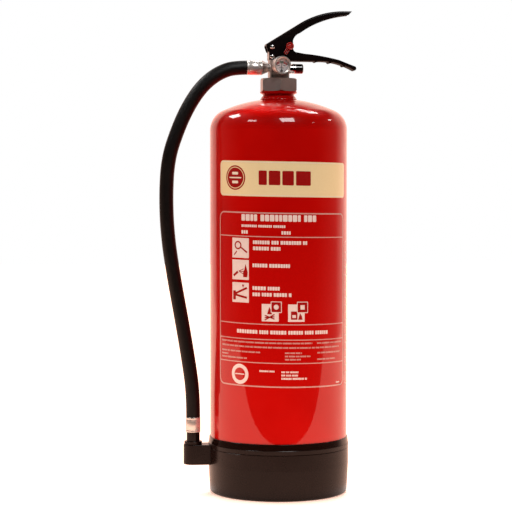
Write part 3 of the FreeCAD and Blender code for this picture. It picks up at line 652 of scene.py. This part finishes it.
def gauge_print():
    """Dial with a green band between two red ones, ticks, a hub ring and three rows of blocks."""
    dial_piece("dial_low_band", [(dial_arc(10.2, 13.2, 45, 14),)], PRINT_LIFT, INK["dark_red"])
    dial_piece("dial_green_band", [(dial_arc(10.2, 13.2, 13.2, -13.2),)], PRINT_LIFT, INK["green"])
    dial_piece("dial_high_band", [(dial_arc(10.2, 13.2, -14, -45),)], PRINT_LIFT, INK["dark_red"])
    ticks = []
    for degrees in range(-40, 41, 10):
        ticks.append((dial_arc(8.9, 9.8, degrees + 0.9, degrees - 0.9, steps=2),))
    ticks += words(-5.6, -2.0, -0.9, 0.1, 95)
    ticks += words(2.0, 5.6, -0.9, 0.1, 96)
    ticks += words(-3.4, 3.4, -3.8, -2.9, 97)
    ticks.append((disc(0, -NEEDLE_DROP, 1.9, steps=24), disc(0, -NEEDLE_DROP, 0.6, steps=12)))
    dial_piece("dial_marks", ticks, PRINT_LIFT, INK["black"])


# ---------------------------------------------------------------- hose

HOSE_R = 0.00925
UPPER_SLEEVE_R = 9.5 * MM
LOWER_SLEEVE_R = 9.6 * MM
HOSE_CORNERS = [
    (-0.0420, 0.5582), (-0.0585, 0.5580), (-0.0745, 0.5530), (-0.0900, 0.5435), (-0.1050, 0.5285),
    (-0.1195, 0.5060), (-0.1320, 0.4790), (-0.1454, 0.4400), (-0.1484, 0.3900), (-0.1462, 0.3380),
    (-0.1380, 0.2830), (-0.1276, 0.2260), (-0.1188, 0.1730), (-0.1131, 0.1310), (-0.1131, 0.0996),
]


def hose_line():
    """Points of one smooth NURBS line through the hose's route."""
    data = bpy.data.curves.new("hose_line", "CURVE")
    data.dimensions = "3D"
    spline = data.splines.new("NURBS")
    spline.points.add(len(HOSE_CORNERS) - 1)
    for point, (x, z) in zip(spline.points, HOSE_CORNERS):
        point.co = (x, 0.0, z, 1.0)
    spline.order_u = 3
    spline.use_endpoint_u = True
    data.resolution_u = 24
    line = bpy.data.objects.new("hose_line", data)
    mesh = bpy.data.meshes.new_from_object(line)
    points = [vertex.co.copy() for vertex in mesh.vertices]
    bpy.data.objects.remove(line)
    bpy.data.meshes.remove(mesh)
    return points


def hose():
    """Hose tube with UVs round and along it, for its weave, and the sleeves on its ends."""
    sleeves = [ferrule("upper_sleeve", "upper_ferrule", "vessel", UPPER_SLEEVE_R),
               ferrule("lower_sleeve", "lower_ferrule", "nozzle", LOWER_SLEEVE_R)]
    path = hose_line()
    sides = 40
    vertices, faces = sweep(path, [Vector((0, 1, 0))] * len(path), HOSE_R, sides)
    piece = add_object("hose_tube", vertices, faces, MATERIALS["hose_rubber"])
    reach = [0.0]
    for a, b in zip(path, path[1:]):
        reach.append(reach[-1] + (b - a).length)
    uv = piece.data.uv_layers.new(name="UVMap")
    for polygon in piece.data.polygons:
        ring = polygon.index // sides
        around = polygon.index % sides
        for loop, (du, dv) in zip(polygon.loop_indices, ((0, 0), (1, 0), (1, 1), (0, 1))):
            uv.data[loop].uv = ((around + du) / sides, reach[ring + dv])
    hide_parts("hose")
    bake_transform(piece)


# ---------------------------------------------------------------- small details

def valve_spring():
    """Return spring inside the valve, with its foot on the retainer."""
    foot = Vector((0, 0, 511.7)) * MM
    height = 27.6 * MM
    coil_r = 5.4 * MM
    wire_r = 0.7 * MM
    turns = 5
    steps = 48 * turns
    sides = 12
    path = []
    for step in range(steps + 1):
        angle = 2 * math.pi * turns * step / steps
        rise = height * step / steps
        path.append(foot + Vector((coil_r * math.cos(angle), coil_r * math.sin(angle), rise)))
    vertices, faces = sweep(path, [Vector((0, 0, 1))] * len(path), wire_r, sides)
    faces += [tuple(range(sides)), tuple(range(steps * sides, (steps + 1) * sides))]
    piece = add_object("return_spring", vertices, faces, MATERIALS["stainless"])
    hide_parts("valve_spring")
    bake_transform(piece)


def weld_bead():
    """Lumpy weld run round the neck, with overlapping ripples."""
    draw = random.Random(7)
    steps = 220
    sides = 20
    ring_r = 22.0 * MM
    ring_z = 516.6 * MM
    thickness = 1.9
    ripples = 46
    waves = 7
    lumps = []
    for _ in range(26):
        place = draw.uniform(0, 2 * math.pi)
        width = draw.uniform(0.05, 0.12)
        lumps.append((place, width, draw.uniform(0.2, 0.75)))

    def swell(angle):
        """Local thickness of the run in mm."""
        size = thickness + 0.07 * math.sin(ripples * angle) + 0.1 * math.sin(waves * angle + 1)
        for place, width, height in lumps:
            apart = math.remainder(angle - place, 2 * math.pi)
            size += height * math.exp(-(apart / width) ** 2)
        return size

    path = []
    for step in range(steps):
        angle = 2 * math.pi * step / steps
        path.append(Vector((ring_r * math.cos(angle), ring_r * math.sin(angle), ring_z)))
    vertices, faces = sweep(path, [Vector((0, 0, 1))] * steps,
                            lambda i, k: swell(2 * math.pi * i / steps) * MM, sides, closed=True)
    piece = add_object("weld_run", vertices, faces, MATERIALS["red_paint"])
    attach(piece, "vessel")
    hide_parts("weld_bead")


def ferrule(name, node, body, radius):
    """Pressed sleeve over a hose end, with rounded rims and a shallow groove near each end."""
    low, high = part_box(node)
    size = Vector(high) - Vector(low)
    lying = size.x > size.z
    length = size.x if lying else size.z
    rim = 0.45 * MM
    bevel = 0.3 * rim
    bore_r = radius - 2.2 * MM
    depth = 0.22 * MM
    profile = [(bore_r, 0.0), (radius - rim, 0.0), (radius - bevel, bevel), (radius, rim)]
    for groove in (0.14, 0.86):
        for shift, cut in ((-0.025, 0.0), (-0.008, depth), (0.008, depth), (0.025, 0.0)):
            profile.append((radius - cut, (groove + shift) * length))
    profile += [(radius, length - rim), (radius - bevel, length - bevel), (radius - rim, length),
                (bore_r, length)]
    vertices, faces = lathe(profile, 144)
    middle = (Vector(low) + Vector(high)) / 2
    if lying:
        place = Matrix.Translation((low[0], middle.y, middle.z)) @ Matrix.Rotation(math.pi / 2, 4, "Y")
    else:
        place = Matrix.Translation((middle.x, middle.y, low[2]))
    piece = add_object(name, [place @ vertex for vertex in vertices], faces, MATERIALS["satin_chrome"])
    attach(piece, body)
    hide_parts(node)
    return piece


PIN = Vector((13.6, -12.0, 586.0)) * MM
SEAL_R = 5.25  # mm, like every size of the seal
SEAL_THICK = 1.5
SEAL_FLAT_R = 4.9  # where the disc's edge starts to round off, over SEAL_ROUND
SEAL_ROUND = 0.35
SEAL_RIM_R = 4.5
SEAL_RIM_W = 0.45
SEAL_BOSS_R = 1.25
TAIL_TOP = 3.4  # from the pin down to the tail's start, then its length
TAIL_LENGTH = 9.2
TAIL_HALF = 2.8
TAIL_TIP = 10.4  # where the tail's end starts to round off, over TAIL_TIP_ROUND
TAIL_TIP_ROUND = 2.3
RIB_PITCH = 1.6


def seal_height(radius, turn):
    """Relief of the seal's disc in mm: a rim, a middle boss, and ribs between them."""
    rim = 0.9 * math.exp(-((radius - SEAL_RIM_R) / SEAL_RIM_W) ** 2)
    boss = 1.1 * math.exp(-(radius / SEAL_BOSS_R) ** 4)
    rib = 0.0
    if radius < SEAL_RIM_R:
        rib = 0.7 * math.exp(-(math.sin(3 * turn) * radius / 0.75) ** 2)
    edge = 1.0
    if radius >= SEAL_FLAT_R:
        edge = max(0.0, 1 - ((radius - SEAL_FLAT_R) / SEAL_ROUND) ** 2)
    return SEAL_THICK * edge + max(rim, boss, rib)


def seal_disc():
    """Red plastic disc over the pin's tip."""
    steps = 96
    rings = 26
    vertices = [Vector((0, -seal_height(0, 0), 0))]
    for ring in range(1, rings + 1):
        radius = SEAL_R * ring / rings
        for step in range(steps):
            turn = 2 * math.pi * step / steps
            lift = seal_height(radius, turn)
            vertices.append(Vector((radius * math.cos(turn), -lift, radius * math.sin(turn))))
    for step in range(steps):
        turn = 2 * math.pi * step / steps
        vertices.append(Vector((SEAL_R * math.cos(turn), 0, SEAL_R * math.sin(turn))))
    faces = [(0, 1 + step, 1 + (step + 1) % steps) for step in range(steps)]
    for ring in range(rings):
        a = 1 + ring * steps
        b = a + steps
        for step in range(steps):
            after = (step + 1) % steps
            faces.append((a + step, b + step, b + after, a + after))
    piece = add_object("seal_disc", [PIN + v * MM for v in vertices], faces, MATERIALS["red_plastic"])
    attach(piece, "vessel")
    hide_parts("tamper_seal")


def seal_tail():
    """Ribbed red tail that hangs from the seal's disc down to the left."""
    rows = 40
    columns = 24
    vertices = []
    lean = Matrix.Rotation(math.radians(33), 3, "Y")
    for row in range(rows + 1):
        down = TAIL_TOP + TAIL_LENGTH * row / rows
        half = TAIL_HALF
        if down >= TAIL_TIP:
            half = TAIL_HALF * math.sqrt(max(0.02, 1 - ((down - TAIL_TIP) / TAIL_TIP_ROUND) ** 2))
        rib = 0.3 * math.exp(-((down % RIB_PITCH - RIB_PITCH / 2) / 0.3) ** 2)
        for column in range(columns + 1):
            across = 2 * column / columns - 1
            border = math.exp(-((abs(across) - 0.8) / 0.12) ** 2)
            relief = 0.75 + 0.35 * border + rib * (abs(across) < 0.7)
            lift = relief * min(1.0, 6 * (1.02 - abs(across)))
            vertices.append(lean @ Vector((half * across, -lift, -down)))
    faces = []
    for row in range(rows):
        for column in range(columns):
            a = row * (columns + 1) + column
            faces.append((a, a + 1, a + columns + 2, a + columns + 1))
    piece = add_object("seal_tail", [PIN + v * MM for v in vertices], faces, MATERIALS["seal_tail"])
    thick = piece.modifiers.new("thickness", "SOLIDIFY")
    thick.thickness = 0.6 * MM
    thick.offset = 0
    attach(piece, "vessel")


def soften(node, width):
    """Rounds the sharp edges of a CAD node by a width in mm, so that they catch the light."""
    bevel = frame["nodes"][node].modifiers.new("edges", "BEVEL")
    bevel.width = width * MM
    bevel.segments = 3
    bevel.limit_method = "ANGLE"
    bevel.angle_limit = math.radians(25)
    bevel.harden_normals = True


# ---------------------------------------------------------------- stage

AIM = Vector((0.0, 0.0, 0.487))  # what every softbox faces
BOX_DISTANCE = 2.2
FADE_START = 0.06  # the floor's own colour turns into glow between these distances from the axis
FADE_END = 0.14
GLOW_SEEN = 2.6
GLOW_MIRRORED = 1.6
SURROUND_STRENGTH = 1.5
SURROUND_COLOUR = (1.0, 0.64, 0.53)


def softbox(name, heading, height, size, strength, mirrored=True):
    """Soft light at a heading from the front (towards +X) and a height, in degrees, facing AIM."""
    turn = math.radians(heading)
    rise = math.radians(height)
    way = Vector((math.sin(turn) * math.cos(rise), -math.cos(turn) * math.cos(rise), math.sin(rise)))
    data = bpy.data.lights.new(name, "AREA")
    data.shape = "RECTANGLE"
    data.size, data.size_y = size
    data.energy = strength * math.pi * size[0] * size[1]
    light = bpy.data.objects.new(name, data)
    light.location = AIM + way * BOX_DISTANCE
    light.rotation_euler = (-way).to_track_quat("-Z", "Y").to_euler()
    light.visible_camera = False
    light.visible_glossy = mirrored
    scene.collection.objects.link(light)


def floor():
    """Pale floor that brightens into the white surround away from the object."""
    looks = Looks("pale_floor")
    looks.set(Base_Color=(0.90, 0.88, 0.87, 1.0), Specular_IOR_Level=0.1)
    looks.rough(looks.spread(looks.noise(30.0, detail=4.0), 0.3, 0.7, 0.55, 0.65))
    coords = looks.node("ShaderNodeTexCoord")
    reach = looks.node("ShaderNodeVectorMath", operation="LENGTH")
    looks.link(coords.outputs["Object"], reach.inputs[0])
    fade = looks.node("ShaderNodeMapRange", interpolation_type="SMOOTHSTEP")
    fade.inputs["From Min"].default_value = FADE_START
    fade.inputs["From Max"].default_value = FADE_END
    looks.link(reach.outputs["Value"], fade.inputs["Value"])
    glow = looks.node("ShaderNodeEmission")
    glow.inputs["Color"].default_value = (1.0, 0.62, 0.48, 1.0)
    rays = looks.node("ShaderNodeLightPath")
    strength = looks.spread(rays.outputs["Is Glossy Ray"], 0, 1, GLOW_SEEN, GLOW_MIRRORED)
    looks.link(strength, glow.inputs["Strength"])
    mix = looks.node("ShaderNodeMixShader")
    looks.link(fade.outputs["Result"], mix.inputs["Fac"])
    looks.link(looks.shader.outputs["BSDF"], mix.inputs[1])
    looks.link(glow.outputs["Emission"], mix.inputs[2])
    looks.link(mix.outputs["Shader"], looks.output.inputs["Surface"])
    outline = [(-2.2, -0.60, 0), (0.62, -0.56, 0), (2.2, -0.66, 0), (2.2, 6, 0), (-2.2, 6, 0)]
    add_object("floor", outline, [tuple(range(len(outline)))], looks.material)


def flag():
    """Narrow black card at the back left, seen only as the dark stripe down the cylinder's side."""
    looks = Looks("black_card")
    looks.set(Base_Color=(0.004, 0.002, 0.002, 1.0), Specular_IOR_Level=0.0)
    looks.rough(looks.spread(looks.noise(40.0), 0.3, 0.7, 0.8, 0.95))
    card = add_object("flag", [(-1.02, 0.58, 0), (-0.86, 0.78, 0), (-0.86, 0.78, 1.1), (-1.02, 0.58, 1.1)],
                      [(0, 1, 2, 3)], looks.material)
    card.visible_camera = False
    card.visible_diffuse = False
    card.visible_shadow = False


def surround():
    """White for the camera; for light and reflections, bright at the back and sides, dark in front."""
    world = bpy.data.worlds.new("studio")
    scene.world = world
    world.use_nodes = True
    tree = world.node_tree
    tree.nodes.clear()

    def node(kind, **settings):
        made = tree.nodes.new(kind)
        for key, value in settings.items():
            setattr(made, key, value)
        return made

    def along(direction, stops):
        """Brightness by how far the view goes along a direction, from -1 to 1."""
        dot = node("ShaderNodeVectorMath", operation="DOT_PRODUCT")
        dot.inputs[1].default_value = direction
        tree.links.new(coords.outputs["Generated"], dot.inputs[0])
        spread = node("ShaderNodeMapRange")
        spread.inputs["From Min"].default_value = -1.0
        tree.links.new(dot.outputs["Value"], spread.inputs["Value"])
        ramp = node("ShaderNodeValToRGB")
        elements = ramp.color_ramp.elements
        elements.remove(elements[1])
        elements[0].position = (stops[0][0] + 1) / 2
        elements[0].color = (stops[0][1], stops[0][1], stops[0][1], 1.0)
        for place, level in stops[1:]:
            elements.new((place + 1) / 2).color = (level, level, level, 1.0)
        tree.links.new(spread.outputs["Result"], ramp.inputs["Fac"])
        return ramp.outputs["Color"]

    def times(a, b):
        made = node("ShaderNodeVectorMath", operation="MULTIPLY")
        tree.links.new(a, made.inputs[0])
        tree.links.new(b, made.inputs[1])
        return made.outputs["Vector"]

    coords = node("ShaderNodeTexCoord")
    depth = along(AHEAD, ((-0.4, 0.0), (-0.05, 0.05), (0.36, 0.12), (0.62, 0.65), (0.83, 1.0),
                          (0.99, 1.0)))
    side = along(TO_RIGHT, ((-0.3, 0.85), (0.2, 1.0)))
    height = along((0, 0, 1), ((0.45, 1.0), (0.60, 0.02)))
    felt = node("ShaderNodeBackground")
    felt.inputs["Strength"].default_value = SURROUND_STRENGTH
    warm = node("ShaderNodeCombineXYZ")
    for socket, level in zip(warm.inputs, SURROUND_COLOUR):
        socket.default_value = level
    tree.links.new(times(times(times(depth, side), height), warm.outputs["Vector"]), felt.inputs["Color"])
    seen = node("ShaderNodeBackground")
    seen.inputs["Color"].default_value = (1, 1, 1, 1)
    rays = node("ShaderNodeLightPath")
    mix = node("ShaderNodeMixShader")
    tree.links.new(rays.outputs["Is Camera Ray"], mix.inputs["Fac"])
    tree.links.new(felt.outputs["Background"], mix.inputs[1])
    tree.links.new(seen.outputs["Background"], mix.inputs[2])
    output = node("ShaderNodeOutputWorld")
    tree.links.new(mix.outputs["Shader"], output.inputs["Surface"])


def stage():
    """White studio: floor and surround, and softboxes where the dome shows their reflections."""
    floor()
    flag()
    surround()
    softbox("front_box", 11, 47, (0.75, 0.80), 11.5)
    softbox("left_box", -60, 39, (0.55, 0.30), 10)
    softbox("rear_left_box", -121, 45, (0.60, 0.50), 14)
    softbox("rear_box", 174.5, 35, (0.24, 0.30), 3)
    softbox("rear_right_box", 139, 57, (0.95, 0.40), 12)
    softbox("right_box", 102, 30, (0.28, 0.14), 9)
    softbox("low_right_box", 57, 29, (0.22, 0.08), 5)
    softbox("dome_wash", 172, 58, (1.0, 1.0), 36, mirrored=False)


# ---------------------------------------------------------------- build

make_camera()
scene.view_settings.view_transform = "Standard"
dress_nodes()
hose()
valve_spring()
weld_bead()
seal_disc()
seal_tail()
soften("union_nut", 1.3)
cream_band()
instruction_panel()
side_panel()
gauge_print()
stage()
